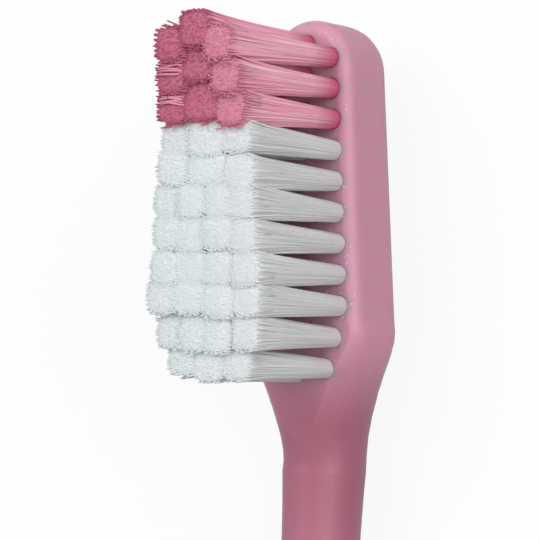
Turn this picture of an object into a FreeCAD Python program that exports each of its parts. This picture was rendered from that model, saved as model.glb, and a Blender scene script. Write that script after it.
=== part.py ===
"""A manual toothbrush lying on its back: one moulded body and rows of nylon tufts held by flat metal anchors.

The tip of the head points along +X and the bristles point up, along +Z. The origin is on the surface that the
brush lies on, below the middle of its length. Sizes are in millimetres.
"""
import FreeCAD, Part
import math
import os

import Sketcher

Vector = FreeCAD.Vector

# Driving dimensions, each written once and read through the sheet's aliases.
SIZES = {
    "brush_length": 186.0,
    "face_height": 9.3,
    "tip_radius": 3.68,
    "head_width": 10.9,
    "tip_thinning": 0.2,
    "face_edge_round": 0.9,
    "back_edge_round": 2.4,
    "tip_margin": 2.8,
    "row_pitch": 2.2,
    "hole_diameter": 1.5,
    "hole_floor": 2.95,
    "face_rim": 0.7,
    "tip_bow": 0.95,
    "tail_bow": 0.4,
    "shoulder_inset": 0.5,
    "last_row_inset": 1.3,
    "last_row_margin": 1.0,
    "tuft_clearance": 0.05,
    "tuft_length": 10.6,
    "trim_slope": 0.1,
    "tip_rise": 1.5,
    "tail_drop": 1.0,
    "tip_lean": 0.25,
    "side_fan": 0.2,
    "tuft_spread": 0.35,
    "tuft_gap": 0.1,
    "tuft_end_round": 0.25,
    "anchor_bite": 0.15,
    "anchor_thickness": 0.25,
    "anchor_depth": 1.35,
    "anchor_gap": 0.3,
    "anchor_cover": 1.5,
    "loop_thickness": 0.55,
    "neck_width": 5.9,
    "neck_depth": 6.0,
    "neck_drop": 1.5,
    "shoulder_length": 6.5,
    "thumb_width": 12.4,
    "thumb_depth": 9.2,
    "grip_width": 13.0,
    "grip_depth": 9.6,
    "end_width": 10.8,
    "end_depth": 8.2,
    "end_round": 3.0,
    "back_flat": 0.4,
    "groove_radius": 1.2,
    "groove_depth": 0.5,
    "groove_pitch": 3.4,
}

# Tuft layout: rows are numbered from the tip, and the wide rows hold one tuft more than the others.
LAST_ROW = 11
WIDEST_ROW = 9
WIDE_ROWS = range(6, 11)
COLOURED_ROWS = range(1, 4)
NARROW_COUNT = 3
WIDE_COUNT = 4
# The straight part of the head ends this many row pitches behind the first row, between two rows.
STRAIGHT_PITCHES = 8.4
THUMB_GROOVES = 6
# Shares of the way from head to neck, at equal steps: width, back, front. Then the roundings of the back and the
# front, as shares of half of the section's smaller side.
SHOULDER_STEPS = (
    (0.03, 0.11, 0.0, 0.756, 0.494),
    (0.345, 0.365, 0.0, 0.753, 0.812),
    (0.64, 0.62, 0.1, 0.77, 0.955),
    (0.88, 0.845, 0.435, 0.845, 0.955),
    (0.988, 0.975, 0.9, 0.953, 0.966),
    (1.0, 1.0, 1.0, 0.96, 0.96),
)
# The flat of the face runs on behind the head, falling by this share of the neck's drop over these steps.
FLAT_FALL = 0.83
FLAT_STEPS = 5
# Shares of the way from neck to thumb rest, thumb rest to palm and palm to end, at equal steps.
GRIP_STEPS = ((0.1, 0, 0), (0.68, 0, 0), (1, 0, 0), (1, 0.55, 0), (1, 1, 0), (1, 1, 0.4), (1, 1, 1))
THUMB_STEP = 3
# Corner roundings of the neck and grip sections, as shares of the smaller side; half would be fully round.
NECK_ROUND_SHARE = 0.48
GRIP_ROUND_SHARE = 0.43
# Sketches are drawn this far above or ahead of their own origin, so that every distance in them is positive.
DATUM_DROP = 10.0
DATUM_RUN = 200.0
# Points closer than this count as touching.
TOUCH = 1e-5

doc = FreeCAD.newDocument("toothbrush")
sheet = doc.addObject("Spreadsheet::Sheet", "size")
for line, (alias, number) in enumerate(SIZES.items(), start=1):
    sheet.set(f"A{line}", alias)
    sheet.set(f"B{line}", str(number))
    sheet.setAlias(f"B{line}", alias)
doc.recompute()


def value(expression):
    """The number that an expression on the sheet's aliases gives now."""
    return float(sheet.evalExpression(expression))


def row_x(row):
    """Expression for the X of a row; a part of a row is allowed."""
    return f"(size.brush_length / 2 - size.tip_margin - {row - 1} * size.row_pitch)"


TIP_CENTRE_X = "(size.brush_length / 2 - size.tip_radius)"
STRAIGHT_END_X = row_x(1 + STRAIGHT_PITCHES)
FLANK_SLOPE = f"((size.head_width / 2 - size.tip_radius) / ({TIP_CENTRE_X} - {STRAIGHT_END_X}))"
HOLE_DEPTH = "(size.loop_thickness + size.anchor_depth + size.anchor_cover)"
HEAD_DEPTH = f"({HOLE_DEPTH} + size.hole_floor)"
HOLE_FLOOR_Z = f"(size.face_height - {HOLE_DEPTH})"
ANCHOR_FLOOR_Z = f"({HOLE_FLOOR_Z} + size.loop_thickness)"
BACK_Z = f"(size.face_height - {HEAD_DEPTH})"
NECK_TOP_Z = "(size.face_height - size.neck_drop)"
NECK_LOW_Z = f"({NECK_TOP_Z} - size.neck_depth)"
GRIP_LOW_Z = "(-size.back_flat)"
NECK_X = f"({row_x(LAST_ROW)} - size.last_row_margin - size.shoulder_length)"
END_X = "(-size.brush_length / 2)"
NECK_ROUND = f"({NECK_ROUND_SHARE} * min(size.neck_width; size.neck_depth))"
END_ROUND = f"min(size.end_round; {GRIP_ROUND_SHARE} * min(size.end_width; size.end_depth))"


def blend(first, second, share):
    """Expression for a value part of the way from one to another."""
    return f"((1 - {share}) * {first} + {share} * {second})"


def along(neck, thumb, palm, end, shares):
    """Expression for a grip value, from the shares of the way to thumb rest, palm and end."""
    return blend(blend(blend(neck, thumb, shares[0]), palm, shares[1]), end, shares[2])


def corner_round(station):
    """Expression for the corner rounding of a grip section, nearly half of its smaller side."""
    return f"({GRIP_ROUND_SHARE} * min(size.{station}_width; size.{station}_depth))"


THUMB_X = blend(NECK_X, END_X, THUMB_STEP / len(GRIP_STEPS))


def row_spread(row):
    """Expression for the distance from the centre line to the outer tuft of a row."""
    on_flank = min(row, WIDEST_ROW)
    spread = f"size.tip_radius + ({TIP_CENTRE_X} - {row_x(on_flank)}) * {FLANK_SLOPE}"
    spread += " - size.face_rim - size.hole_diameter / 2"
    if row == LAST_ROW - 1:
        spread += " - size.shoulder_inset"
    if row == LAST_ROW:
        spread += " - size.last_row_inset"
    return f"({spread})"


def row_count(row):
    """How many tufts a row holds."""
    return WIDE_COUNT if row in WIDE_ROWS else NARROW_COUNT


class Tuft:
    """Where one tuft stands and how it is trimmed, as expressions on the sheet."""

    def __init__(self, row, column):
        count = row_count(row)
        share = 2 * column / (count - 1) - 1
        past_colour = COLOURED_ROWS.stop
        rise = max(0, past_colour - row) / (past_colour - 1)
        drop = max(0, row - WIDEST_ROW) / (LAST_ROW - WIDEST_ROW)
        ahead = max(0, WIDEST_ROW - row)
        bow = "0"
        if share == 0 and row in COLOURED_ROWS:
            bow = f"size.tip_bow * {1 - ((row - 1) / (past_colour - 1)) ** 2}"
        if share == 0 and row == LAST_ROW:
            bow = "-size.tail_bow"
        slope = f"{ahead} * size.trim_slope + {rise} * size.tip_rise - {drop} * size.tail_drop"
        self.name = f"tuft_r{row:02d}_c{column + 1}"
        self.x = f"({row_x(row)} + {bow})"
        self.y = f"({share} * {row_spread(row)})"
        self.top = f"(size.face_height + size.tuft_length + {slope})"
        self.tip_x = f"({self.x} - {int(row in COLOURED_ROWS)} * size.tip_lean)"
        self.tip_y = f"({self.y} + {share * (ahead > 0)} * size.side_fan)"
        self.spacing = f"(2 * {row_spread(row)} / {count - 1})"
        self.anchor = f"min(size.hole_diameter + 2 * size.anchor_bite; {self.spacing} - size.anchor_gap)"


tufts = [Tuft(row, column) for row in range(1, LAST_ROW + 1) for column in range(row_count(row))]


def place(item, x, y, z):
    """Bind an object's place to expressions."""
    item.setExpression("Placement.Base.x", x)
    item.setExpression("Placement.Base.y", y)
    item.setExpression("Placement.Base.z", z)


def origin_plane(body, role):
    """One of a body's own origin planes."""
    return next(feature for feature in body.Origin.OriginFeatures if feature.Role == role)


def new_sketch(body, name, role):
    """An empty sketch on one of the body's origin planes."""
    sketch = body.newObject("Sketcher::SketchObject", name)
    sketch.AttachmentSupport = [(origin_plane(body, role), "")]
    sketch.MapMode = "FlatFace"
    return sketch


def dimension(sketch, kind, places, expression):
    """Add one dimension to a sketch and bind it to an expression."""
    index = sketch.addConstraint(Sketcher.Constraint(kind, *places, value(expression)))
    sketch.setExpression(f"Constraints[{index}]", expression)


def segment(x1, y1, x2, y2):
    """A sketch line between two points."""
    return Part.LineSegment(Vector(x1, y1, 0), Vector(x2, y2, 0))


def arc(x, y, radius, start, end):
    """A sketch arc, with its angles in degrees."""
    circle = Part.Circle(Vector(x, y, 0), Vector(0, 0, 1), radius)
    return Part.ArcOfCircle(circle, math.radians(start), math.radians(end))


def head_outline(body):
    """The head from above: a round tip and flanks that widen to the shoulder."""
    sketch = new_sketch(body, "head_outline", "XY_Plane")
    sketch.setExpression("AttachmentOffset.Base.z", "size.face_height")
    end_x = value(STRAIGHT_END_X)
    centre_x = value(TIP_CENTRE_X)
    radius = value("size.tip_radius")
    half = value("size.head_width / 2")
    sketch.addGeometry([
        segment(end_x, -half, centre_x, -radius),
        arc(centre_x, 0, radius, -90, 90),
        segment(centre_x, radius, end_x, half),
        segment(end_x, half, end_x, -half),
    ])
    sketch.addConstraint([
        Sketcher.Constraint("Tangent", 0, 2, 1, 1),
        Sketcher.Constraint("Tangent", 1, 2, 2, 1),
        Sketcher.Constraint("Coincident", 2, 2, 3, 1),
        Sketcher.Constraint("Coincident", 3, 2, 0, 1),
        Sketcher.Constraint("Symmetric", 2, 2, 0, 1, -1),
        Sketcher.Constraint("PointOnObject", 1, 3, -1),
    ])
    dimension(sketch, "Radius", (1,), "size.tip_radius")
    dimension(sketch, "DistanceX", (-1, 1, 1, 3), TIP_CENTRE_X)
    dimension(sketch, "DistanceX", (-1, 1, 3, 1), STRAIGHT_END_X)
    dimension(sketch, "DistanceY", (3, 2, 3, 1), "size.head_width")
    return sketch


def tip_wedge(body):
    """The wedge cut from the back of the head, which thins it towards the tip."""
    sketch = new_sketch(body, "tip_wedge", "XZ_Plane")
    end_x = value(STRAIGHT_END_X)
    tip_x = value("size.brush_length / 2")
    low = value(BACK_Z)
    high = value(f"{BACK_Z} + size.tip_thinning")
    sketch.addGeometry([
        segment(end_x, low, tip_x, low),
        segment(tip_x, low, tip_x, high),
        segment(tip_x, high, end_x, low),
    ])
    sketch.addConstraint([
        Sketcher.Constraint("Coincident", 0, 2, 1, 1),
        Sketcher.Constraint("Coincident", 1, 2, 2, 1),
        Sketcher.Constraint("Coincident", 2, 2, 0, 1),
        Sketcher.Constraint("Horizontal", 0),
        Sketcher.Constraint("Vertical", 1),
    ])
    dimension(sketch, "DistanceX", (-1, 1, 0, 1), STRAIGHT_END_X)
    dimension(sketch, "DistanceX", (-1, 1, 0, 2), "size.brush_length / 2")
    dimension(sketch, "DistanceY", (-1, 1, 0, 1), BACK_Z)
    dimension(sketch, "DistanceY", (1, 1, 1, 2), "size.tip_thinning")
    return sketch


def shoulder_wedge(body):
    """The wedge cut from the front of the shoulder, which carries the flat of the face on towards the neck."""
    sketch = new_sketch(body, "shoulder_wedge", "XZ_Plane")
    flat_end_x = blend(STRAIGHT_END_X, NECK_X, FLAT_STEPS / len(SHOULDER_STEPS))
    start_x = value(STRAIGHT_END_X)
    end_x = value(flat_end_x)
    start_z = value("size.face_height")
    end_z = value(blend("size.face_height", NECK_TOP_Z, FLAT_FALL))
    high = value("size.face_height + size.neck_drop")
    sketch.addGeometry([
        segment(start_x, start_z, end_x, end_z),
        segment(end_x, end_z, end_x, high),
        segment(end_x, high, start_x, high),
        segment(start_x, high, start_x, start_z),
    ])
    sketch.addConstraint([
        Sketcher.Constraint("Coincident", 0, 2, 1, 1),
        Sketcher.Constraint("Coincident", 1, 2, 2, 1),
        Sketcher.Constraint("Coincident", 2, 2, 3, 1),
        Sketcher.Constraint("Coincident", 3, 2, 0, 1),
        Sketcher.Constraint("Vertical", 1),
        Sketcher.Constraint("Horizontal", 2),
        Sketcher.Constraint("Vertical", 3),
    ])
    dimension(sketch, "DistanceX", (-1, 1, 0, 1), STRAIGHT_END_X)
    dimension(sketch, "DistanceX", (-1, 1, 0, 2), flat_end_x)
    dimension(sketch, "DistanceY", (-1, 1, 0, 1), "size.face_height")
    dimension(sketch, "DistanceY", (-1, 1, 0, 2), blend("size.face_height", NECK_TOP_Z, FLAT_FALL))
    dimension(sketch, "DistanceY", (-1, 1, 1, 2), "size.face_height + size.neck_drop")
    return sketch


def section(body, name, station, half_width, bottom, top, bottom_round, top_round):
    """A cross section of the neck or grip: a rectangle with round corners, square to X."""
    sketch = new_sketch(body, name, "YZ_Plane")
    sketch.AttachmentOffset = FreeCAD.Placement(Vector(0, -DATUM_DROP, 0), FreeCAD.Rotation())
    sketch.setExpression("AttachmentOffset.Base.z", station)
    low_place = f"{DATUM_DROP} + {bottom}"
    high_place = f"{DATUM_DROP} + {top}"
    half = value(half_width)
    low = value(low_place)
    high = value(high_place)
    low_round = value(bottom_round)
    high_round = value(top_round)
    sketch.addGeometry([
        segment(high_round - half, high, half - high_round, high),
        segment(half, high - high_round, half, low + low_round),
        segment(half - low_round, low, low_round - half, low),
        segment(-half, low + low_round, -half, high - high_round),
        arc(half - high_round, high - high_round, high_round, 0, 90),
        arc(high_round - half, high - high_round, high_round, 90, 180),
        arc(low_round - half, low + low_round, low_round, 180, 270),
        arc(half - low_round, low + low_round, low_round, 270, 360),
    ])
    joints = ((0, 2, 4, 2), (1, 1, 4, 1), (0, 1, 5, 1), (3, 2, 5, 2))
    joints += ((3, 1, 6, 1), (2, 2, 6, 2), (2, 1, 7, 1), (1, 2, 7, 2))
    sketch.addConstraint([Sketcher.Constraint("Tangent", *joint) for joint in joints])
    sketch.addConstraint([
        Sketcher.Constraint("Horizontal", 0),
        Sketcher.Constraint("Horizontal", 2),
        Sketcher.Constraint("Vertical", 1),
        Sketcher.Constraint("Vertical", 3),
        Sketcher.Constraint("Equal", 4, 5),
        Sketcher.Constraint("Equal", 6, 7),
    ])
    dimension(sketch, "Radius", (4,), top_round)
    dimension(sketch, "Radius", (6,), bottom_round)
    dimension(sketch, "DistanceX", (-1, 1, 1, 1), half_width)
    dimension(sketch, "DistanceX", (3, 1, -1, 1), half_width)
    dimension(sketch, "DistanceY", (-1, 1, 0, 1), high_place)
    dimension(sketch, "DistanceY", (-1, 1, 2, 1), low_place)
    return sketch


def edges_where(shape, chosen):
    """Names of the edges whose start, middle and end, as a list of points, pass a test."""
    names = []
    for number, edge in enumerate(shape.Edges, start=1):
        middle = edge.valueAt((edge.FirstParameter + edge.LastParameter) / 2)
        if chosen([edge.firstVertex().Point, middle, edge.lastVertex().Point]):
            names.append(f"Edge{number}")
    return names


def face_across(shape, x):
    """Name of the flat face that lies across the length at a given X."""
    for number, face in enumerate(shape.Faces, start=1):
        if abs(face.BoundBox.XMin - x) < TOUCH and abs(face.BoundBox.XMax - x) < TOUCH:
            return f"Face{number}"
    raise RuntimeError(f"no flat face across the length at {x}")


def round_edges(body, name, base, edges, radius):
    """A fillet on some edges of the body's last feature."""
    fillet = body.newObject("PartDesign::Fillet", name)
    fillet.Base = (base, edges)
    fillet.setExpression("Radius", radius)
    doc.recompute()
    return fillet


def cut_through(body, name, sketch):
    """A pocket right through the body, to both sides of its sketch."""
    pocket = body.newObject("PartDesign::Pocket", name)
    pocket.Profile = sketch
    pocket.Type = "ThroughAll"
    pocket.Midplane = True
    doc.recompute()
    return pocket


def head_blank(body):
    """The straight part of the head: flat face, round tip, thinner towards the tip, all edges rounded."""
    pad = body.newObject("PartDesign::Pad", "head_pad")
    pad.Profile = head_outline(body)
    pad.Reversed = True
    pad.setExpression("Length", HEAD_DEPTH)
    doc.recompute()
    thinned = cut_through(body, "head_thinning", tip_wedge(body))
    face_z = value("size.face_height")
    back_z = value(BACK_Z)
    end_x = value(STRAIGHT_END_X)
    slope = value("size.tip_thinning") / (value("size.brush_length / 2") - end_x)

    def on_face(points):
        return points[1].x > end_x + TOUCH and all(abs(p.z - face_z) < TOUCH for p in points)

    def on_back(points):
        heights = [back_z + slope * (p.x - end_x) for p in points]
        return points[1].x > end_x + TOUCH and all(abs(p.z - z) < TOUCH for p, z in zip(points, heights))

    face_edges = edges_where(thinned.Shape, on_face)
    fronted = round_edges(body, "face_edges", thinned, face_edges, "size.face_edge_round")
    back_edges = edges_where(fronted.Shape, on_back)
    return round_edges(body, "back_edges", fronted, back_edges, "size.back_edge_round")


def add_loft(body, name, profile, sections):
    """A smooth stretch of the body from a profile through its sections."""
    loft = body.newObject("PartDesign::AdditiveLoft", name)
    loft.Profile = profile
    loft.Sections = sections
    doc.recompute()
    return loft


def shoulder_sections(body):
    """Cross sections at equal steps from the straight part of the head to the neck."""
    sections = []
    for step, (wide, low, high, low_round, high_round) in enumerate(SHOULDER_STEPS, start=1):
        station = blend(STRAIGHT_END_X, NECK_X, step / len(SHOULDER_STEPS))
        half_width = blend("size.head_width / 2", "size.neck_width / 2", wide)
        bottom = blend(BACK_Z, NECK_LOW_Z, low)
        top = blend("size.face_height", NECK_TOP_Z, high)
        half_side = f"min({half_width}; ({top} - {bottom}) / 2)"
        bottom_round = f"({low_round} * {half_side})"
        top_round = f"({high_round} * {half_side})"
        name = f"shoulder_{step}"
        sections.append(section(body, name, station, half_width, bottom, top, bottom_round, top_round))
    return sections


def grip_sections(body):
    """Cross sections at equal steps from the neck to the end of the grip."""
    sections = []
    for step, shares in enumerate(GRIP_STEPS, start=1):
        half_width = along("size.neck_width / 2", "size.thumb_width / 2", "size.grip_width / 2",
                           "size.end_width / 2", shares)
        depth = along("size.neck_depth", "size.thumb_depth", "size.grip_depth", "size.end_depth", shares)
        corner = along(NECK_ROUND, corner_round("thumb"), corner_round("grip"), corner_round("end"), shares)
        low = blend(NECK_LOW_Z, GRIP_LOW_Z, shares[0])
        top = f"({low} + {depth})"
        station = blend(NECK_X, END_X, step / len(GRIP_STEPS))
        sections.append(section(body, f"grip_{step}", station, half_width, low, top, corner, corner))
    return sections


def back_flat_outline(body):
    """A rectangle on the ground, under the whole grip."""
    sketch = new_sketch(body, "back_flat_outline", "XY_Plane")
    end_x = value(END_X)
    front_x = value(NECK_X)
    half = value("size.grip_width")
    sketch.addGeometry([
        segment(end_x, -half, front_x, -half),
        segment(front_x, -half, front_x, half),
        segment(front_x, half, end_x, half),
        segment(end_x, half, end_x, -half),
    ])
    sketch.addConstraint([Sketcher.Constraint("Coincident", n, 2, (n + 1) % 4, 1) for n in range(4)])
    sketch.addConstraint([
        Sketcher.Constraint("Horizontal", 0),
        Sketcher.Constraint("Horizontal", 2),
        Sketcher.Constraint("Vertical", 3),
        Sketcher.Constraint("Symmetric", 1, 2, 1, 1, -1),
    ])
    dimension(sketch, "DistanceX", (0, 1, -1, 1), "size.brush_length / 2")
    dimension(sketch, "DistanceX", (-1, 1, 1, 1), NECK_X)
    dimension(sketch, "DistanceY", (1, 1, 1, 2), "2 * size.grip_width")
    return sketch


def thumb_groove_circles(body):
    """Circles above the thumb rest, whose lowest parts are the grooves."""
    sketch = new_sketch(body, "thumb_groove_circles", "XZ_Plane")
    centre_z = f"({GRIP_LOW_Z} + size.thumb_depth + size.groove_radius - size.groove_depth)"
    for number in range(THUMB_GROOVES):
        centre_x = f"({DATUM_RUN} + {THUMB_X} + {number - (THUMB_GROOVES - 1) / 2} * size.groove_pitch)"
        place_in = Vector(value(centre_x), value(centre_z), 0)
        sketch.addGeometry(Part.Circle(place_in, Vector(0, 0, 1), value("size.groove_radius")))
        dimension(sketch, "Radius", (number,), "size.groove_radius")
        dimension(sketch, "DistanceX", (-1, 1, number, 3), centre_x)
        dimension(sketch, "DistanceY", (-1, 1, number, 3), centre_z)
    sketch.AttachmentOffset = FreeCAD.Placement(Vector(-DATUM_RUN, 0, 0), FreeCAD.Rotation())
    return sketch


def moulded_body():
    """Head, neck and grip in one piece, before the tuft holes."""
    body = doc.addObject("PartDesign::Body", "moulded_body")
    head = head_blank(body)
    shoulder = shoulder_sections(body)
    grip = grip_sections(body)
    doc.recompute()
    end_face = face_across(head.Shape, value(STRAIGHT_END_X))
    add_loft(body, "shoulder", (head, [end_face]), shoulder)
    handle = add_loft(body, "grip", shoulder[-1], grip)
    end_x = value(END_X)
    end_edges = edges_where(handle.Shape, lambda points: all(abs(p.x - end_x) < TOUCH for p in points))
    rounded = round_edges(body, "end_edges", handle, end_edges, END_ROUND)
    faced = cut_through(body, "shoulder_flat", shoulder_wedge(body))
    flat = body.newObject("PartDesign::Pocket", "back_flat")
    flat.Profile = back_flat_outline(body)
    flat.Type = "ThroughAll"
    doc.recompute()
    grooved = cut_through(body, "thumb_grooves", thumb_groove_circles(body))
    for before, after in ((rounded, faced), (faced, flat), (flat, grooved)):
        if after.Shape.Volume > before.Shape.Volume - TOUCH:
            raise RuntimeError(f"{after.Name} removes nothing")
    return body


def hole(tuft):
    """The blind hole that a tuft is set in."""
    cylinder = doc.addObject("Part::Cylinder", f"hole_{tuft.name}")
    cylinder.setExpression("Radius", "size.hole_diameter / 2")
    cylinder.setExpression("Height", f"2 * {HOLE_DEPTH}")
    place(cylinder, tuft.x, tuft.y, HOLE_FLOOR_Z)
    return cylinder


def plate(name, tuft, room):
    """A plate across a tuft's hole: the anchor itself, or its slot with some room all round."""
    box = doc.addObject("Part::Box", f"{name}_{tuft.name}")
    box.setExpression("Length", f"size.anchor_thickness + 2 * {room}")
    box.setExpression("Width", f"{tuft.anchor} + 2 * {room}")
    box.setExpression("Height", f"size.anchor_depth + 2 * {room}")
    x = f"{tuft.x} - size.anchor_thickness / 2 - {room}"
    y = f"{tuft.y} - {tuft.anchor} / 2 - {room}"
    place(box, x, y, f"{ANCHOR_FLOOR_Z} - {room}")
    return box


def tuft_section(name, long_radius, cross_radius, x, y, z):
    """One outline of a tuft: an ellipse, longer along the brush than across it."""
    ellipse = doc.addObject("Part::Ellipse", name)
    ellipse.setExpression("MajorRadius", long_radius)
    ellipse.setExpression("MinorRadius", cross_radius)
    place(ellipse, x, y, z)
    return ellipse


def tuft_solid(tuft, slot):
    """A folded tuft: round in its hole, fanned out lengthwise above the face, slotted for its anchor."""
    root = "(size.hole_diameter / 2 - size.tuft_clearance)"
    long_tip = "((size.row_pitch - size.tip_lean - size.tuft_gap) / 2)"
    cross_tip = f"min({long_tip}; {root} + size.tuft_spread / 2; ({tuft.spacing} - size.tuft_gap) / 2)"
    foot_z = f"({HOLE_FLOOR_Z} + size.tuft_clearance)"
    tip_z = f"({tuft.top} - size.tuft_end_round)"
    long_end = f"({long_tip} - size.tuft_end_round)"
    cross_end = f"({cross_tip} - size.tuft_end_round)"
    loft = doc.addObject("Part::Loft", f"fan_{tuft.name}")
    loft.Sections = [
        tuft_section(f"foot_{tuft.name}", root, root, tuft.x, tuft.y, foot_z),
        tuft_section(f"mouth_{tuft.name}", root, root, tuft.x, tuft.y, "size.face_height"),
        tuft_section(f"tip_{tuft.name}", long_tip, cross_tip, tuft.tip_x, tuft.tip_y, tip_z),
        tuft_section(f"end_{tuft.name}", long_end, cross_end, tuft.tip_x, tuft.tip_y, tuft.top),
    ]
    loft.Solid = True
    loft.Ruled = True
    return cut(tuft.name, loft, slot)


def cut(name, base, tool):
    """One solid less another."""
    result = doc.addObject("Part::Cut", name)
    result.Base = base
    result.Tool = tool
    return result


def group(name, items):
    """Separate solids kept together as one object."""
    compound = doc.addObject("Part::Compound", name)
    compound.Links = items
    return compound


def build():
    """Every sub-part of the brush, in the order in which they are written."""
    blank = moulded_body()
    slots = [plate("slot", tuft, "size.tuft_clearance") for tuft in tufts]
    drilled = cut("drilled_head", blank, group("tuft_holes", [hole(tuft) for tuft in tufts]))
    handle = cut("handle", drilled, group("anchor_slots", slots))
    anchors = group("tuft_anchors", [plate("anchor", tuft, "0") for tuft in tufts])
    nylon = [tuft_solid(tuft, slot) for tuft, slot in zip(tufts, slots)]
    return [handle, anchors] + nylon


def write(subparts):
    """Check every object, then write each sub-part to its own file."""
    doc.recompute()
    for item in doc.Objects:
        if "Invalid" in item.State or "Error" in item.State:
            raise RuntimeError(f"{item.Name} failed: {item.State}")
    for item in subparts:
        if item.Shape.isNull() or not item.Shape.isValid():
            raise RuntimeError(f"{item.Name} has no valid shape")
    os.makedirs("parts", exist_ok=True)
    for item in subparts:
        item.Label = item.Name
        item.Shape.exportStep(f"parts/{item.Label}.step")
        print(f"{item.Label}: {len(item.Shape.Solids)} solids, {item.Shape.Volume:.2f} mm3")


write(build())
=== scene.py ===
"""The looks of a manual toothbrush: a moulded handle, tufts of single filaments and a soft studio."""
import logging
import math
from dataclasses import dataclass, field
from enum import Enum

import bpy
import numpy as np
from mathutils import Matrix, Vector


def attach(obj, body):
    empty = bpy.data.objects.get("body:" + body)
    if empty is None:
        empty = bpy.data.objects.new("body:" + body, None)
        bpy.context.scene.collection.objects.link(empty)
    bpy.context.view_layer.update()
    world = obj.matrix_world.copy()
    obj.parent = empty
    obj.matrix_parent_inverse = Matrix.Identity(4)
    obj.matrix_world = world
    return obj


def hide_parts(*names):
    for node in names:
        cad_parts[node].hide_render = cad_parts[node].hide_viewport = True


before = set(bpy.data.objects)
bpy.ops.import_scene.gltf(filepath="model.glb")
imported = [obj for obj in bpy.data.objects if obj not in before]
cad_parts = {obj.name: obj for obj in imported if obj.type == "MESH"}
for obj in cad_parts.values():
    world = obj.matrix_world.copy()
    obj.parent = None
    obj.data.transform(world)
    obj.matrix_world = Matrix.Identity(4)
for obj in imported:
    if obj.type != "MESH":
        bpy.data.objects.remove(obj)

MM = 0.001
PHOTO_SIDE_PX = 540
SENSOR_MM = 36.0
ROOT_BODY = "root"
TUFT_PREFIX = "tuft_r"
# Vertex attributes of the filaments, which their shader reads.
NEAR_ROOT = "near_root"
NEAR_END = "near_end"
TONE = "tone"
# Blender's Mix node repeats its socket names, so its colour sockets go by number.
MIX_SHARE = 0
MIX_FIRST = 6
MIX_SECOND = 7
MIX_RESULT = 2
# Points of a solid are on one level when they are this near in height, to this many digits of a metre.
LEVEL_MM = 0.01
LEVEL_DIGITS = 6
# The golden angle, in half turns, spreads points evenly over a disc.
GOLDEN_ANGLE = 3 - math.sqrt(5)
# Keeps a length from being zero.
TINY = 1e-9
LOG = logging.getLogger("toothbrush")


class Nylon(Enum):
    """The two dyes of the filaments."""

    WHITE = "white"
    PINK = "pink"


def linear(colour: str) -> tuple[float, float, float, float]:
    """Turn an sRGB hex colour into a linear one.

    Args:
        colour: six hex digits, red first.

    Returns:
        Linear red, green, blue and a full alpha.
    """
    shares = [int(colour[start:start + 2], 16) / 255 for start in (0, 2, 4)]
    red, green, blue = (s / 12.92 if s <= 0.04045 else ((s + 0.055) / 1.055) ** 2.4 for s in shares)
    return red, green, blue, 1.0


def turns(count: int) -> np.ndarray:
    """Angles that part a full turn into equal steps."""
    return np.arange(count) * 2 * math.pi / count


def add_node(
    tree: bpy.types.NodeTree,
    kind: str,
    values: dict | None = None,
    links: dict | None = None,
    **settings: object,
) -> bpy.types.Node:
    """Add a node with its settings, its own numbers and what feeds it.

    Args:
        tree: the node tree that gets it.
        kind: Blender's name for the node.
        values: numbers and colours, by input.
        links: outputs of other nodes, by input.
        **settings: properties of the node itself.

    Returns:
        The new node.
    """
    node = tree.nodes.new(kind)
    for name, setting in settings.items():
        setattr(node, name, setting)
    for socket, number in (values or {}).items():
        node.inputs[socket].default_value = number
    for socket, source in (links or {}).items():
        tree.links.new(source, node.inputs[socket])
    return node


def combine(
    tree: bpy.types.NodeTree,
    operation: str,
    first: bpy.types.NodeSocket,
    second: bpy.types.NodeSocket,
) -> bpy.types.NodeSocket:
    """Work out one value from two.

    Args:
        tree: the node tree that gets the node.
        operation: Blender's name for what is done.
        first: the first value.
        second: the second value.

    Returns:
        The result.
    """
    node = add_node(tree, "ShaderNodeMath", None, {0: first, 1: second}, operation=operation)
    return node.outputs["Value"]


def ramp(
    tree: bpy.types.NodeTree,
    source: bpy.types.NodeSocket,
    start_end: tuple[float, float] = (0.0, 1.0),
    low_high: tuple[float, float] = (0.0, 1.0),
    smooth: bool = False,
) -> bpy.types.NodeSocket:
    """Map one range of values to another, held at both ends.

    Args:
        tree: the node tree that gets the node.
        source: the value to map.
        start_end: where the range starts and ends.
        low_high: what its start and its end become.
        smooth: whether the ramp eases in and out.

    Returns:
        The mapped value.
    """
    node = add_node(
        tree, "ShaderNodeMapRange",
        {"From Min": start_end[0], "From Max": start_end[1], "To Min": low_high[0], "To Max": low_high[1]},
        {"Value": source},
        interpolation_type="SMOOTHSTEP" if smooth else "LINEAR",
    )
    return node.outputs["Result"]


def blend(
    tree: bpy.types.NodeTree,
    share: bpy.types.NodeSocket,
    first: str | bpy.types.NodeSocket,
    second: str | bpy.types.NodeSocket,
) -> bpy.types.NodeSocket:
    """Mix two colours, each an sRGB hex colour or another node's.

    Args:
        tree: the node tree that gets the node.
        share: how much of the second colour shows.
        first: the colour at a share of 0.
        second: the colour at a share of 1.

    Returns:
        The mixed colour.
    """
    values = {}
    links = {MIX_SHARE: share}
    for socket, colour in ((MIX_FIRST, first), (MIX_SECOND, second)):
        if isinstance(colour, str):
            values[socket] = linear(colour)
        else:
            links[socket] = colour
    return add_node(tree, "ShaderNodeMix", values, links, data_type="RGBA").outputs[MIX_RESULT]


def dimmed(
    tree: bpy.types.NodeTree,
    colour: bpy.types.NodeSocket,
    level: bpy.types.NodeSocket,
) -> bpy.types.NodeSocket:
    """Scale a colour.

    Args:
        tree: the node tree that gets the node.
        colour: the colour.
        level: what it is multiplied by.

    Returns:
        The scaled colour.
    """
    node = add_node(tree, "ShaderNodeVectorMath", None, {0: colour, "Scale": level}, operation="SCALE")
    return node.outputs["Vector"]


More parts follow.
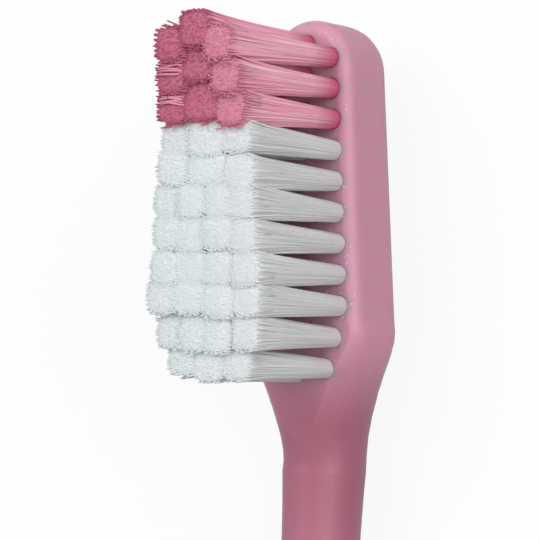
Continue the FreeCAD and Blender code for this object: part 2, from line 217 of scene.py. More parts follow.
def shows_background(tree: bpy.types.NodeTree) -> bpy.types.NodeSocket:
    """Tell the rays that show the background from those that only light the object.

    Args:
        tree: the node tree that asks.

    Returns:
        1 for camera, glossy and transmission rays, 0 for all others.
    """
    path = add_node(tree, "ShaderNodeLightPath")
    seen = combine(tree, "MAXIMUM", path.outputs["Is Camera Ray"], path.outputs["Is Glossy Ray"])
    return combine(tree, "MAXIMUM", seen, path.outputs["Is Transmission Ray"])


def empty_material(name: str) -> tuple[bpy.types.Material, bpy.types.NodeTree, bpy.types.Node]:
    """Make a node material with nothing but its output.

    Args:
        name: the material's name.

    Returns:
        The material, its tree and its output node.
    """
    material = bpy.data.materials.new(name)
    material.use_nodes = True
    tree = material.node_tree
    tree.nodes.clear()
    return material, tree, add_node(tree, "ShaderNodeOutputMaterial")


@dataclass(frozen=True)
class MouldedPolypropylene:
    """Tinted polypropylene, injection moulded in a lightly blasted steel tool.

    The eye sees a milky, slightly translucent plastic with a satin gloss, faint flow clouding and small
    specks along the edge of the head's face, whose pale colour is a painted glint. The neck is painted
    deeper, as painted shade where the tufts shadow it.
    """

    head_tint: str = "DE9DB3"
    # The deeper neck tint is painted shade, where the tufts shadow the neck.
    shaded_neck_tint: str = "B56982"
    head_from_mm: float = 63.5
    head_to_mm: float = 70.0
    grip_from_mm: float = 60.0
    grip_to_mm: float = 40.0
    ior: float = 1.49
    roughness: float = 0.46
    roughness_swing: float = 0.08
    translucency: float = 1.0
    light_travel_mm: float = 2.2
    travel_by_colour: tuple[float, float, float] = (1.0, 0.5, 0.6)
    flow_cloud_mm: float = 9.0
    cloud_detail: float = 3.0
    cloud_roughness: float = 0.55
    cloud_swing: float = 0.12
    # The tool's blasted grain is finer, and drawn coarser so that it shows.
    grain_mm: float = 0.32
    grain_detail: float = 2.0
    grain_roughness: float = 0.6
    grain_depth_mm: float = 0.006
    # Specks begin at the first height and are full at the second, and they follow the clouds. They are dents,
    # and their pale tint is a painted glint.
    speck_from_mm: float = 8.75
    speck_to_mm: float = 9.2
    speck_clouds: tuple[float, float] = (0.3, 0.6)
    speck_share: float = 0.75
    painted_glint_tint: str = "FAE3EB"
    speck_pitch_mm: float = 0.36
    speck_size: float = 0.26
    speck_depth_mm: float = 0.03

    def tint(self, tree: bpy.types.NodeTree, along: bpy.types.NodeSocket) -> bpy.types.NodeSocket:
        """Colour the head and grip, and paint shade on the neck between them, where the tufts shadow it.

        Args:
            tree: the material's tree.
            along: how far along the brush a point is.

        Returns:
            The plastic's colour there.
        """
        in_head = ramp(tree, along, (self.head_from_mm * MM, self.head_to_mm * MM), smooth=True)
        in_grip = ramp(tree, along, (self.grip_from_mm * MM, self.grip_to_mm * MM), smooth=True)
        return blend(tree, combine(tree, "MAXIMUM", in_head, in_grip), self.shaded_neck_tint, self.head_tint)

    def glint_specks(
        self,
        tree: bpy.types.NodeTree,
        place: bpy.types.NodeSocket,
        clouds: bpy.types.NodeSocket,
    ) -> bpy.types.NodeSocket:
        """Scatter small round specks over the edge of the head's face, as dents and as the mask of a painted
        glint.

        Args:
            tree: the material's tree.
            place: where a point is.
            clouds: how thick the flow clouds are there.

        Returns:
            1 in the middle of a speck, 0 outside all.
        """
        spot = add_node(tree, "ShaderNodeSeparateXYZ", None, {"Vector": place})
        in_head = ramp(tree, spot.outputs["X"], (self.head_from_mm * MM, self.head_to_mm * MM), smooth=True)
        on_face = ramp(tree, spot.outputs["Z"], (self.speck_from_mm * MM, self.speck_to_mm * MM))
        patch = ramp(tree, clouds, self.speck_clouds, (0.0, self.speck_share))
        likely = combine(tree, "MULTIPLY", patch, combine(tree, "MULTIPLY", on_face, in_head))
        cells = add_node(
            tree, "ShaderNodeTexVoronoi", {"Scale": 1 / (self.speck_pitch_mm * MM)}, {"Vector": place}
        )
        chance = add_node(tree, "ShaderNodeSeparateColor", None, {"Color": cells.outputs["Color"]})
        kept = combine(tree, "LESS_THAN", chance.outputs["Red"], likely)
        dot = ramp(tree, cells.outputs["Distance"], (self.speck_size, 0.0), smooth=True)
        return combine(tree, "MULTIPLY", dot, kept)

    def material(self) -> bpy.types.Material:
        """Build the shader.

        Returns:
            The finished material.
        """
        material, tree, output = empty_material("moulded_polypropylene")
        place = add_node(tree, "ShaderNodeTexCoord").outputs["Object"]
        spot = add_node(tree, "ShaderNodeSeparateXYZ", None, {"Vector": place})
        clouds = add_node(
            tree, "ShaderNodeTexNoise",
            {
                "Scale": 1 / (self.flow_cloud_mm * MM),
                "Detail": self.cloud_detail,
                "Roughness": self.cloud_roughness,
            },
            {"Vector": place},
        ).outputs["Fac"]
        grain = add_node(
            tree, "ShaderNodeTexNoise",
            {
                "Scale": 1 / (self.grain_mm * MM),
                "Detail": self.grain_detail,
                "Roughness": self.grain_roughness,
            },
            {"Vector": place},
        ).outputs["Fac"]
        glint_specks = self.glint_specks(tree, place, clouds)
        level = ramp(tree, clouds, low_high=(1 - self.cloud_swing, 1.0))
        clouded = dimmed(tree, self.tint(tree, spot.outputs["X"]), level)
        glosses = (self.roughness - self.roughness_swing, self.roughness + self.roughness_swing)
        pits = add_node(
            tree, "ShaderNodeBump",
            {"Strength": 1.0, "Distance": self.grain_depth_mm * MM},
            {"Height": grain},
        )
        relief = add_node(
            tree, "ShaderNodeBump",
            {"Strength": 1.0, "Distance": self.speck_depth_mm * MM},
            {"Height": glint_specks, "Normal": pits.outputs["Normal"]},
        )
        shader = add_node(
            tree, "ShaderNodeBsdfPrincipled",
            {
                "IOR": self.ior,
                "Subsurface Weight": self.translucency,
                "Subsurface Radius": self.travel_by_colour,
                "Subsurface Scale": self.light_travel_mm * MM,
            },
            {
                # Painted glint: the specks' pale tint mixed into the base colour.
                "Base Color": blend(tree, glint_specks, clouded, self.painted_glint_tint),
                "Roughness": ramp(tree, grain, low_high=glosses),
                "Normal": relief.outputs["Normal"],
            },
        )
        tree.links.new(shader.outputs["BSDF"], output.inputs["Surface"])
        return material


@dataclass(frozen=True)
class NylonFilament:
    """Extruded nylon monofilament, cut and end-rounded by grinding.

    The eye sees bright, slightly translucent threads. Near the root the colour carries painted shade, low
    between the tufts, and near the end a painted end colour, deeper in the pink, stands for nylon seen end
    on.
    """

    dye: Nylon
    root: str
    side: str
    streak: str
    end: str
    travel_by_colour: tuple[float, float, float]
    ior: float = 1.53
    roughness: float = 0.55
    translucency: float = 0.3
    light_travel_mm: float = 0.4
    tone_swing: float = 0.05
    streak_share: float = 0.3

    def material(self) -> bpy.types.Material:
        """Build the shader, which reads how near root and end a point is, and its filament's own tone.

        Returns:
            The finished material.
        """
        material, tree, output = empty_material(f"{self.dye.value}_nylon_filament")
        rooted, ended, tone = (
            add_node(tree, "ShaderNodeAttribute", attribute_name=name).outputs["Fac"]
            for name in (NEAR_ROOT, NEAR_END, TONE)
        )
        paler = ramp(tree, tone, (1 - self.streak_share, 1.0))
        streaked = blend(tree, paler, self.side, self.streak)
        # Painted shade near the root, then the painted end colour near the end.
        root_shaded = blend(tree, rooted, streaked, self.root)
        painted_deep_ends = blend(tree, ended, root_shaded, self.end)
        level = ramp(tree, tone, low_high=(1 - self.tone_swing, 1.0))
        shader = add_node(
            tree, "ShaderNodeBsdfPrincipled",
            {
                "IOR": self.ior,
                "Roughness": self.roughness,
                "Subsurface Weight": self.translucency,
                "Subsurface Radius": self.travel_by_colour,
                "Subsurface Scale": self.light_travel_mm * MM,
            },
            {"Base Color": dimmed(tree, painted_deep_ends, level)},
        )
        tree.links.new(shader.outputs["BSDF"], output.inputs["Surface"])
        return material


@dataclass(frozen=True)
class NickelSilverStrip:
    """Nickel-silver strip, rolled and sheared to length.

    The eye sees a pale warm metal with fine rolling lines that waver a little.
    """

    tint: str = "CFC4AE"
    roughness: float = 0.3
    rolling_line_mm: float = 0.05
    line_waver: float = 2.0
    line_depth_mm: float = 0.002

    def material(self) -> bpy.types.Material:
        """Build the shader.

        Returns:
            The finished material.
        """
        material, tree, output = empty_material("nickel_silver_strip")
        place = add_node(tree, "ShaderNodeTexCoord")
        lines = add_node(
            tree, "ShaderNodeTexWave",
            {"Scale": 1 / (self.rolling_line_mm * MM), "Distortion": self.line_waver},
            {"Vector": place.outputs["Object"]},
            bands_direction="Z",
        )
        relief = add_node(
            tree, "ShaderNodeBump",
            {"Distance": self.line_depth_mm * MM},
            {"Height": lines.outputs["Fac"]},
        )
        shader = add_node(
            tree, "ShaderNodeBsdfPrincipled",
            {"Base Color": linear(self.tint), "Metallic": 1.0, "Roughness": self.roughness},
            {"Normal": relief.outputs["Normal"]},
        )
        tree.links.new(shader.outputs["BSDF"], output.inputs["Surface"])
        return material


@dataclass(frozen=True)
class PaperSweep:
    """Matt white background paper, which the camera sees as nearly pure white, with a soft shadow."""

    tint: str = "FFFFFF"
    bounce_tint: str = "6E6E6E"
    glow_share: float = 0.88

    def material(self) -> bpy.types.Material:
        """Build the shader: paper for the light, mostly plain white for the camera and for reflections.

        Returns:
            The finished material.
        """
        material, tree, output = empty_material("white_background_paper")
        seen = shows_background(tree)
        tint = blend(tree, seen, self.bounce_tint, self.tint)
        paper = add_node(tree, "ShaderNodeBsdfDiffuse", None, {"Color": tint})
        glow = add_node(tree, "ShaderNodeEmission", {"Color": linear(self.tint), "Strength": 1.0})
        share = ramp(tree, seen, low_high=(0.0, self.glow_share))
        mix = add_node(
            tree, "ShaderNodeMixShader", None,
            {0: share, 1: paper.outputs["BSDF"], 2: glow.outputs["Emission"]},
        )
        tree.links.new(mix.outputs["Shader"], output.inputs["Surface"])
        return material


@dataclass
class DressedSolid:
    """A solid that keeps its own mesh and gets one finish."""

    node: str
    slot: str
    finish: MouldedPolypropylene | NickelSilverStrip

    def dress(self) -> None:
        """Give the solid its finish and nothing else."""
        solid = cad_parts[self.node]
        solid.data.materials.clear()
        solid.data.materials.append(self.finish.material())
        LOG.info("dressed %s", self.node)


@dataclass
class MouldedHandle(DressedSolid):
    """Head, neck and grip in one plastic moulding."""

    node: str = "handle"
    slot: str = "handle_plastic"
    finish: MouldedPolypropylene = field(default_factory=MouldedPolypropylene)


@dataclass
class AnchorPlates(DressedSolid):
    """The metal plates inside the head that hold the tufts."""

    node: str = "tuft_anchors"
    slot: str = "anchor_metal"
    finish: NickelSilverStrip = field(default_factory=NickelSilverStrip)


@dataclass
class TuftSpace:
    """The room that one tuft's solid takes, read from its mesh."""

    node: str
    row: int
    column: int
    mouth: np.ndarray
    mouth_radius: float
    tip: np.ndarray
    tip_radii: np.ndarray

    @classmethod
    def read(cls, node: str) -> "TuftSpace":
        """Measure a tuft's solid.

        Args:
            node: the tuft's node.

        Returns:
            Its room, in metres.
        """
        points = np.array([vertex.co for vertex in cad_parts[node].data.vertices])
        mouth_z, rim_z, end_z = np.unique(points[:, 2].round(LEVEL_DIGITS))[-3:]
        near = LEVEL_MM * MM
        mouth = points[np.abs(points[:, 2] - mouth_z) < near][:, :2]
        rim = points[points[:, 2] > rim_z - near][:, :2]
        row, column = (int(part[1:]) for part in node.split("_")[1:])
        return cls(
            node=node,
            row=row,
            column=column,
            mouth=np.array([*(mouth.min(0) + mouth.max(0)) / 2, mouth_z]),
            mouth_radius=float(np.ptp(mouth, axis=0).max() / 2),
            tip=np.array([*(rim.min(0) + rim.max(0)) / 2, end_z]),
            tip_radii=np.ptp(rim, axis=0) / 2,
        )


@dataclass(frozen=True)
class BundleHabit:
    """How the filaments of one dye splay and lean, are cut, take painted shade at root and end, and press
    together.
    """

    splay_mm: tuple[float, float]
    flare_mm: tuple[float, float]
    lean_mm: tuple[float, float]
    stray_mm: float
    wander_mm: float
    trim_error_mm: float
    end_dip_mm: float
    root_dip_mm: float
    press: float


@dataclass
class Pieces:
    """Tubes that are gathered into one object, with what the shader reads at each vertex."""

    points: list[np.ndarray] = field(default_factory=list)
    faces: list[tuple[int, ...]] = field(default_factory=list)
    near_root: list[np.ndarray] = field(default_factory=list)
    near_end: list[np.ndarray] = field(default_factory=list)
    tones: list[np.ndarray] = field(default_factory=list)
    count: int = 0

    def add_tubes(self, rings: np.ndarray, near: tuple[np.ndarray, np.ndarray], tones: np.ndarray) -> None:
        """Add closed tubes.

        Args:
            rings: points by tube, ring and side.
            near: how near the root and how near the end, each by tube and ring.
            tones: the tone of each tube.
        """
        tubes, levels, sides, _ = rings.shape
        for tube in range(tubes):
            start = self.count + tube * levels * sides
            for level in range(levels - 1):
                low = start + level * sides
                for side in range(sides):
                    after = (side + 1) % sides
                    self.faces.append((low + side, low + after, low + sides + after, low + sides + side))
            self.faces.append(tuple(start + side for side in reversed(range(sides))))
            self.faces.append(tuple(start + (levels - 1) * sides + side for side in range(sides)))
        self.points.append(rings.reshape(-1, 3))
        self.near_root.append(np.repeat(near[0].reshape(-1), sides))
        self.near_end.append(np.repeat(near[1].reshape(-1), sides))
        self.tones.append(np.repeat(tones, levels * sides))
        self.count += tubes * levels * sides

    def mesh(self, name: str) -> bpy.types.Mesh:
        """Turn everything gathered into one smooth mesh.

        Args:
            name: the mesh's name.

        Returns:
            The mesh, with its attributes.
        """
        mesh = bpy.data.meshes.new(name)
        mesh.from_pydata(np.concatenate(self.points).tolist(), [], self.faces)
        mesh.polygons.foreach_set("use_smooth", np.ones(len(mesh.polygons), dtype=bool))
        kept = {NEAR_ROOT: self.near_root, NEAR_END: self.near_end, TONE: self.tones}
        for attribute, parts in kept.items():
            numbers = np.concatenate(parts).astype(np.float32)
            mesh.attributes.new(attribute, "FLOAT", "POINT").data.foreach_set("value", numbers)
        mesh.update()
        return mesh


@dataclass
class FilamentTufts:
    """The tufts, each a bundle of single filaments around a packed core, in the room of its solid."""

    coloured_rows: tuple[int, ...] = (1, 2, 3)
    seed: int = 41
    seed_stride: int = 10
    # Single filaments, drawn fewer than a real tuft has: an even middle and a dense rim.
    inner_filaments: int = 270
    inner_reach: float = 0.94
    inner_rings: int = 4
    outer_filaments: int = 120
    outer_reach: tuple[float, float] = (0.95, 1.0)
    outer_jitter: float = 0.35
    diameter_mm: float = 0.125
    end_share: float = 0.5
    sides: int = 5
    # Rings of a filament: down in the hole, where the plate parts the bundle, and up along its free length.
    depths_mm: tuple[float, ...] = (2.6, 1.4, 0.6)
    split: tuple[float, ...] = (1.0, 0.9, 0.0)
    plate_mm: float = 0.25
    plate_squeeze: float = 0.6
    shares: tuple[float, ...] = (0.0, 0.25, 0.5, 0.7, 0.82, 0.92, 1.0)
    # The bundle widens and squares off, mostly near its end. The corner power sets how square it gets.
    mouth_grow_mm: float = 0.03
    flare_power: int = 3
    crowding: float = 0.9
    crowding_power: int = 2
    corner_power: int = 4
    dome_mm: float = 0.1
    tuft_lean_mm: float = 0.09
    tuft_short_mm: float = 0.08
    # The core, fluted up to its shoulder and crowned by smaller and smaller rings.
    core_sides: int = 40
    core_share: float = 1.005
    core_top_share: float = 0.9
    core_inset_mm: float = 0.09
    core_flute: float = 0.012
    core_root_mm: float = 0.6
    core_rings: tuple[float, ...] = (0.0, 0.25, 0.5, 0.7, 0.82, 0.92, 0.97)
    crown_rings: tuple[float, ...] = (1.0, 0.8, 0.5, 0.2)
    core_tone: float = 0.5
    # The ends in these columns are painted paler than the others, as painted light on the lit near column.
    lit_columns: tuple[int, ...] = (1,)
    lit_column_end_share: float = 0.65
    # A few pale filaments lie bent over the ends of these tufts, named by row and column.
    bent_tufts: tuple[tuple[int, int], ...] = ((2, 3), (3, 3))
    bent_filaments: int = 6
    bent_along: tuple[float, float] = (0.1, 0.85)
    bent_across: tuple[float, ...] = (-1.0, -0.6, 0.1, 0.85)
    bent_rise_mm: tuple[float, ...] = (-0.4, 0.02, 0.12, 0.06)
    bent_drift_mm: float = 0.06
    # Share of the painted end colour on the bent filaments.
    bent_end_shade: float = 0.3
    white: NylonFilament = NylonFilament(
        dye=Nylon.WHITE,
        root="EEEAEC",
        side="F1F1F2",
        streak="FCFCFD",
        end="EFF6F8",
        travel_by_colour=(1.0, 1.0, 1.0),
    )
    pink: NylonFilament = NylonFilament(
        dye=Nylon.PINK,
        root="C94B74",
        side="FCB0C8",
        streak="FFDFE9",
        end="BA5A78",
        travel_by_colour=(1.0, 0.6, 0.7),
        translucency=0.05,
    )
    white_habit: BundleHabit = BundleHabit(
        splay_mm=(0.08, 0.08),
        flare_mm=(0.1, 0.1),
        lean_mm=(0.0, 0.0),
        stray_mm=0.09,
        wander_mm=0.02,
        trim_error_mm=0.045,
        end_dip_mm=0.6,
        root_dip_mm=2.0,
        press=1.03,
    )
    pink_habit: BundleHabit = BundleHabit(
        splay_mm=(0.1, 0.1),
        flare_mm=(0.1, 0.1),
        lean_mm=(0.0, 0.05),
        stray_mm=0.14,
        wander_mm=0.025,
        trim_error_mm=0.06,
        end_dip_mm=1.1,
        root_dip_mm=3.4,
        press=1.01,
    )

    def dye(self, space: TuftSpace) -> Nylon:
        """Which dye a tuft has, by its row."""
        return Nylon.PINK if space.row in self.coloured_rows else Nylon.WHITE

    def habit(self, space: TuftSpace) -> BundleHabit:
        """How a tuft's filaments stand, by its dye."""
        return self.pink_habit if self.dye(space) is Nylon.PINK else self.white_habit

    def near(self, space: TuftSpace, heights: np.ndarray, ends: np.ndarray) -> tuple[np.ndarray, np.ndarray]:
        """How near the root and the end points are, which sets the painted shade at the root and the painted
        end colour.

        Args:
            space: the tuft's room.
            heights: the points' heights.
            ends: the heights of the trimmed ends above them.

        Returns:
            Two shares for each point, at most 1 at the root and 1 at the end.
        """
        habit = self.habit(space)
        rooted = np.clip(1 - (heights - space.mouth[2]) / (habit.root_dip_mm * MM), 0, 1)
        ended = np.clip(1 - (ends - heights) / (habit.end_dip_mm * MM), 0, 1)
        # Painted light: the lit column's ends get less of the painted end colour.
        return rooted, ended * (self.lit_column_end_share if space.column in self.lit_columns else 1.0)

    def press_together(self, spaces: list[TuftSpace]) -> None:
        """Widen the trimmed ends until neighbouring tufts meet, as crowded filaments do.

        Args:
            spaces: the rooms of all tufts, whose ends are changed.
        """
        ends = {(space.row, space.column): space.tip[:2].copy() for space in spaces}
        for space in spaces:
            low = space.tip[:2] - space.tip_radii
            high = space.tip[:2] + space.tip_radii
            here = space.tip[:2].copy()
            half = self.habit(space).press / 2
            for step in (-1, 1):
                beside = ends.get((space.row, space.column + step))
                rows = [end for (row, _), end in ends.items() if row == space.row + step]
                if beside is not None:
                    side = here[1] + (beside[1] - here[1]) * half
                    low[1] = min(low[1], side)
                    high[1] = max(high[1], side)
                if rows:
                    nearest = min(rows, key=lambda end: abs(end[1] - here[1]))
                    side = here[0] + (nearest[0] - here[0]) * half
                    low[0] = min(low[0], side)
                    high[0] = max(high[0], side)
            space.tip[:2] = (low + high) / 2
            space.tip_radii = (high - low) / 2

    def reach(self, space: TuftSpace, habit: BundleHabit, share: float) -> np.ndarray:
        """How far the outermost centre lines stand from the tuft's middle.

        Args:
            space: the tuft's room.
            habit: how its filaments stand.
            share: the height, from 0 at the hole's mouth to 1 at the trimmed end.

        Returns:
            The distance along and across the brush, in metres.
        """
        mouth = space.mouth_radius + self.mouth_grow_mm * MM
        tip = space.tip_radii + np.array(habit.splay_mm) * MM
        flare = np.array(habit.flare_mm) * MM * share ** self.flare_power
        return mouth * (1 - share) + tip * share + flare - self.diameter_mm * MM / 2

    def crowd(self, disc: np.ndarray, share: float) -> np.ndarray:
        """Square off places in a unit disc towards the trimmed end, where neighbouring tufts press together.

        Args:
            disc: places in the disc.
            share: the height, as for reach.

        Returns:
            The places, moved outwards along the diagonals.
        """
        length = np.maximum(np.linalg.norm(disc, axis=1, keepdims=True), TINY)
        corners = ((disc / length) ** self.corner_power).sum(1, keepdims=True)
        square = 1 / corners ** (1 / self.corner_power)
        return disc * (1 + self.crowding * (square - 1) * share ** self.crowding_power)

    def middle(self, space: TuftSpace, habit: BundleHabit, share: float) -> np.ndarray:
        """Where the tuft's middle is, in plan, at a height given as for reach."""
        return space.mouth[:2] * (1 - share) + (space.tip[:2] + np.array(habit.lean_mm) * MM) * share

    def disc(self, random: np.random.Generator) -> np.ndarray:
        """Spread the filaments over a unit disc: an even middle, then a dense rim.

        Args:
            random: the tuft's own random numbers.

        Returns:
            A place in the disc for each filament.
        """
        inner = np.arange(self.inner_filaments)
        outer = np.arange(self.outer_filaments)
        reach = np.concatenate([
            self.inner_reach * np.sqrt((inner + 0.5) / self.inner_filaments),
            random.uniform(*self.outer_reach, self.outer_filaments),
        ])
        jitter = random.uniform(-self.outer_jitter, self.outer_jitter, self.outer_filaments)
        turn = np.concatenate([
            inner * math.pi * GOLDEN_ANGLE,
            (outer + jitter) * 2 * math.pi / self.outer_filaments,
        ]) + random.uniform(0, 2 * math.pi)
        return np.stack([reach * np.cos(turn), reach * np.sin(turn)], axis=1)

    def centre_lines(self, space: TuftSpace, habit: BundleHabit, random: np.random.Generator) -> np.ndarray:
        """Lay out the filaments' centre lines, from beside the anchor plate to the trimmed end.

        Args:
            space: the tuft's room.
            habit: how its filaments stand.
            random: the tuft's own random numbers.

        Returns:
            Points by filament and ring, in metres.
        """
        disc = self.disc(random)
        count = len(disc)
        half = self.diameter_mm * MM / 2
        root = disc * self.reach(space, habit, 0.0)
        beside = root.copy()
        squeezed = np.abs(root[:, 0]) * self.plate_squeeze
        beside[:, 0] = np.sign(root[:, 0]) * (self.plate_mm * MM / 2 + half + squeezed)
        lines = []
        for depth, parted in zip(self.depths_mm, self.split):
            flat = space.mouth[:2] + root * (1 - parted) + beside * parted
            lines.append(np.column_stack([flat, np.full(count, space.mouth[2] - depth * MM)]))
        dome = self.dome_mm * MM * (disc ** 2).sum(1)
        trim = dome + np.abs(random.normal(0, habit.trim_error_mm * MM, count))
        free = space.tip[2] - space.mouth[2] - trim
        stray = random.normal(0, habit.stray_mm * MM, (count, 2))
        bow = random.normal(0, habit.wander_mm * MM, (count, 2))
        for share in self.shares:
            spread = self.crowd(disc, share) * self.reach(space, habit, share)
            flat = self.middle(space, habit, share) + spread
            flat = flat + stray * share ** self.flare_power + bow * math.sin(share * math.pi)
            lines.append(np.column_stack([flat, space.mouth[2] + share * free]))
        lines.append(lines[-1].copy())
        lines[-2][:, 2] -= half
        return np.stack(lines, axis=1)

    def add_filaments(
        self, pieces: Pieces, centres: np.ndarray, near: tuple[np.ndarray, np.ndarray], tones: np.ndarray
    ) -> None:
        """Add the filaments along their centre lines, each with a rounded end.

        Args:
            pieces: where they are gathered.
            centres: points by filament and ring.
            near: how near root and end, likewise.
            tones: each filament's tone.
        """
        half = self.diameter_mm * MM / 2
        radii = np.full(centres.shape[1], half)
        radii[-1] = half * self.end_share
        angles = turns(self.sides)
        circle = np.stack([np.cos(angles), np.sin(angles), np.zeros(self.sides)], axis=1)
        rings = centres[:, :, None, :] + circle[None, None, :, :] * radii[None, :, None, None]
        pieces.add_tubes(rings, near, tones)

    def add_core(
        self, pieces: Pieces, space: TuftSpace, habit: BundleHabit, random: np.random.Generator
    ) -> None:
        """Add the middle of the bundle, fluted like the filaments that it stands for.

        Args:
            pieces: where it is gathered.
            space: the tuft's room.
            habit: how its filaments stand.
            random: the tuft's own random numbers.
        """
        angles = turns(self.core_sides)
        flute = 1 + self.core_flute * np.cos(np.arange(self.core_sides) * math.pi)
        flute = flute + random.normal(0, self.core_flute / 2, self.core_sides)
        circle = np.stack([np.cos(angles), np.sin(angles)], axis=1) * flute[:, None]
        free = space.tip[2] - space.mouth[2]
        top = 1 - (self.dome_mm + self.core_inset_mm) * MM / free
        crown = self.dome_mm * MM / free
        steps = [(-self.core_root_mm * MM / free, self.core_share)]
        steps += [(top * share, self.core_share) for share in self.core_rings]
        steps += [
            (top + crown * (1 - inward ** 2), self.core_top_share * inward)
            for inward in self.crown_rings
        ]
        heights = np.array([space.mouth[2] + share * free for share, _ in steps])
        rings = []
        for (share, inward), height in zip(steps, heights):
            spread = max(share, 0.0)
            outline = self.crowd(circle, spread) * self.reach(space, habit, spread)
            flat = self.middle(space, habit, spread) + outline * inward
            rings.append(np.column_stack([flat, np.full(self.core_sides, height)]))
        near = self.near(space, heights, np.full(len(heights), space.tip[2]))
        pieces.add_tubes(np.stack(rings)[None], near, np.array([self.core_tone]))

    def add_bent_over(self, pieces: Pieces, space: TuftSpace) -> None:
        """Add the few pale filaments that lie bent over the trimmed ends.

        Args:
            pieces: where they are gathered.
            space: the tuft's room.
        """
        random = np.random.default_rng(self.seed * space.row + space.column)
        count = self.bent_filaments
        drift = self.bent_drift_mm * MM
        along = space.tip[0] + space.tip_radii[0] * np.linspace(*self.bent_along, count)
        centres = np.empty((count, len(self.bent_across), 3))
        centres[:, :, 0] = along[:, None] + random.normal(0, drift, centres.shape[:2])
        centres[:, :, 1] = space.tip[1] + space.tip_radii[1] * np.array(self.bent_across)
        centres[:, :, 1] += random.normal(0, drift, (count, 1))
        centres[:, :, 2] = space.tip[2] + np.array(self.bent_rise_mm) * MM
        centres[:, :, 2] += random.uniform(0, drift, (count, 1))
        angles = turns(self.sides)
        circle = np.stack([np.sin(angles), np.zeros(self.sides), np.cos(angles)], axis=1)
        rings = centres[:, :, None, :] + circle * self.diameter_mm * MM / 2
        painted_deep_ends = np.full(centres.shape[:2], self.bent_end_shade)
        pieces.add_tubes(rings, (np.zeros_like(painted_deep_ends), painted_deep_ends), random.uniform(0, 1, count))

    def build(self, space: TuftSpace, habit: BundleHabit) -> bpy.types.Object:
        """Build one tuft.

        Args:
            space: the tuft's room.
            habit: how its filaments stand.

        Returns:
            The tuft's object.
        """
        random = np.random.default_rng(self.seed + self.seed_stride * space.row + space.column)
        space.tip[:2] += random.normal(0, self.tuft_lean_mm * MM, 2)
        space.tip[2] -= abs(random.normal(0, self.tuft_short_mm * MM))
        pieces = Pieces()
        centres = self.centre_lines(space, habit, random)
        tones = random.uniform(0, 1, len(centres))
        heights = centres[:, :, 2]
        rooted, ended = self.near(space, heights, heights[:, -1:])
        inner = self.inner_filaments
        seen = -self.inner_rings
        ends = (rooted[:inner, seen:], ended[:inner, seen:])
        self.add_filaments(pieces, centres[:inner, seen:], ends, tones[:inner])
        self.add_filaments(pieces, centres[inner:], (rooted[inner:], ended[inner:]), tones[inner:])
        self.add_core(pieces, space, habit, random)
        if (space.row, space.column) in self.bent_tufts:
            self.add_bent_over(pieces, space)
        name = f"filaments_{space.node}"
        tuft = bpy.data.objects.new(name, pieces.mesh(name))
        bpy.context.scene.collection.objects.link(tuft)
        return tuft

    def dress(self) -> None:
        """Build every tuft, with its dye, in place of its solid."""
        materials = {Nylon.WHITE: self.white.material(), Nylon.PINK: self.pink.material()}
        nodes = sorted(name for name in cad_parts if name.startswith(TUFT_PREFIX))
        spaces = [TuftSpace.read(node) for node in nodes]
        self.press_together(spaces)
        for node, space in zip(nodes, spaces):
            dye = self.dye(space)
            tuft = self.build(space, self.habit(space))
            tuft.data.materials.append(materials[dye])
            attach(tuft, ROOT_BODY)
            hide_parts(node)
            LOG.info("built %s in %s nylon", tuft.name, dye.value)


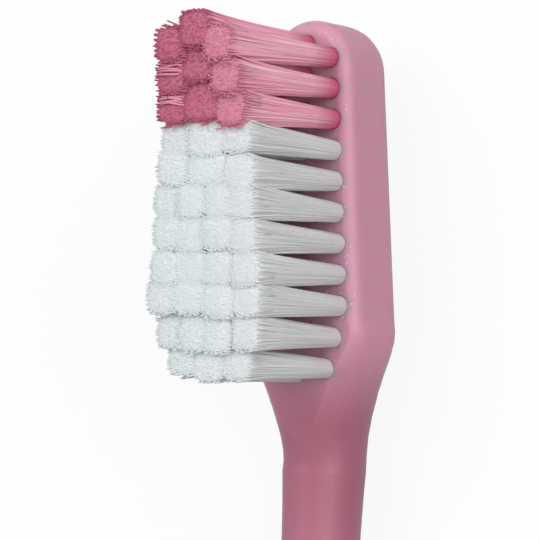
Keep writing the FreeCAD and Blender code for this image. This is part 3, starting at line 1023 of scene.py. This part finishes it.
@dataclass
class Studio:
    """Background paper, lamps and the camera."""

    floor_side_m: float = 4.0
    sky_tint: str = "FFFFFF"
    sky_level: float = 0.47
    aim_mm: tuple[float, float, float] = (78.2, 0.0, 9.3)
    key_watts: float = 0.9
    key_side_mm: float = 320.0
    key_place_mm: tuple[float, float, float] = (280.0, 170.0, 520.0)
    fill_watts: float = 2.2
    fill_side_mm: float = 500.0
    fill_place_mm: tuple[float, float, float] = (200.0, -470.0, 320.0)
    azimuth_deg: float = -3.07
    elevation_deg: float = 52.0
    roll_deg: float = 2.72
    distance_mm: float = 200.0
    slide_right_mm: float = -1.985
    slide_up_mm: float = -3.118
    focal_px: float = 2809.0
    clip_start_m: float = 0.01
    paper: PaperSweep = field(default_factory=PaperSweep)

    def lay_floor(self) -> None:
        """Lay the paper under the brush."""
        half = self.floor_side_m / 2
        corners = [(-half, -half, 0), (half, -half, 0), (half, half, 0), (-half, half, 0)]
        mesh = bpy.data.meshes.new("floor")
        mesh.from_pydata(corners, [], [(0, 1, 2, 3)])
        mesh.materials.append(self.paper.material())
        floor = bpy.data.objects.new("floor", mesh)
        bpy.context.scene.collection.objects.link(floor)

    def set_sky(self) -> None:
        """Light everything evenly, with plain white for the camera and for reflections."""
        world = bpy.data.worlds.new("studio_sky")
        bpy.context.scene.world = world
        world.use_nodes = True
        tree = world.node_tree
        tree.nodes.clear()
        level = ramp(tree, shows_background(tree), low_high=(self.sky_level, 1.0))
        sky = add_node(tree, "ShaderNodeBackground", {"Color": linear(self.sky_tint)}, {"Strength": level})
        add_node(tree, "ShaderNodeOutputWorld", None, {"Surface": sky.outputs["Background"]})

    def hang_lamp(
        self, name: str, place_mm: tuple[float, float, float], side_mm: float, watts: float
    ) -> None:
        """Hang a square soft box that faces the head.

        Args:
            name: the lamp's name.
            place_mm: where it hangs.
            side_mm: how wide it is.
            watts: how strong it is.
        """
        light = bpy.data.lights.new(name, "AREA")
        light.shape = "SQUARE"
        light.size = side_mm * MM
        light.energy = watts
        lamp = bpy.data.objects.new(name, light)
        lamp.location = Vector(place_mm) * MM
        towards = Vector(self.aim_mm) * MM - lamp.location
        lamp.rotation_euler = towards.to_track_quat("-Z", "Y").to_euler()
        bpy.context.scene.collection.objects.link(lamp)

    def set_camera(self) -> None:
        """Stand the camera where the photograph was taken from, with the head's tip up."""
        azimuth = math.radians(self.azimuth_deg)
        elevation = math.radians(self.elevation_deg)
        back = Vector((
            math.sin(azimuth) * math.cos(elevation),
            -math.cos(azimuth) * math.cos(elevation),
            math.sin(elevation),
        ))
        level_right = Vector((1, 0, 0)).cross(back).normalized()
        level_up = back.cross(level_right)
        cosine = math.cos(math.radians(self.roll_deg))
        sine = math.sin(math.radians(self.roll_deg))
        right = cosine * level_right + sine * level_up
        up = cosine * level_up - sine * level_right
        place = Vector(self.aim_mm) + back * self.distance_mm
        place = place + right * self.slide_right_mm + up * self.slide_up_mm
        view = bpy.data.cameras.new("photo_camera")
        view.sensor_width = SENSOR_MM
        view.lens = self.focal_px / PHOTO_SIDE_PX * SENSOR_MM
        view.clip_start = self.clip_start_m
        camera = bpy.data.objects.new("photo_camera", view)
        turn = Matrix((right, up, back)).transposed().to_4x4()
        camera.matrix_world = Matrix.Translation(place * MM) @ turn
        bpy.context.scene.collection.objects.link(camera)
        bpy.context.scene.camera = camera

    def build(self) -> None:
        """Set up the whole studio."""
        bpy.context.scene.view_settings.view_transform = "Standard"
        self.lay_floor()
        self.set_sky()
        self.hang_lamp("key_soft_box", self.key_place_mm, self.key_side_mm, self.key_watts)
        self.hang_lamp("fill_soft_box", self.fill_place_mm, self.fill_side_mm, self.fill_watts)
        self.set_camera()
        LOG.info("studio set")


def main() -> None:
    """Dress the brush and set the studio."""
    logging.basicConfig(level=logging.INFO, format="%(message)s")
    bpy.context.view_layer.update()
    MouldedHandle().dress()
    AnchorPlates().dress()
    FilamentTufts().dress()
    Studio().build()


if __name__ == "__main__":
    main()
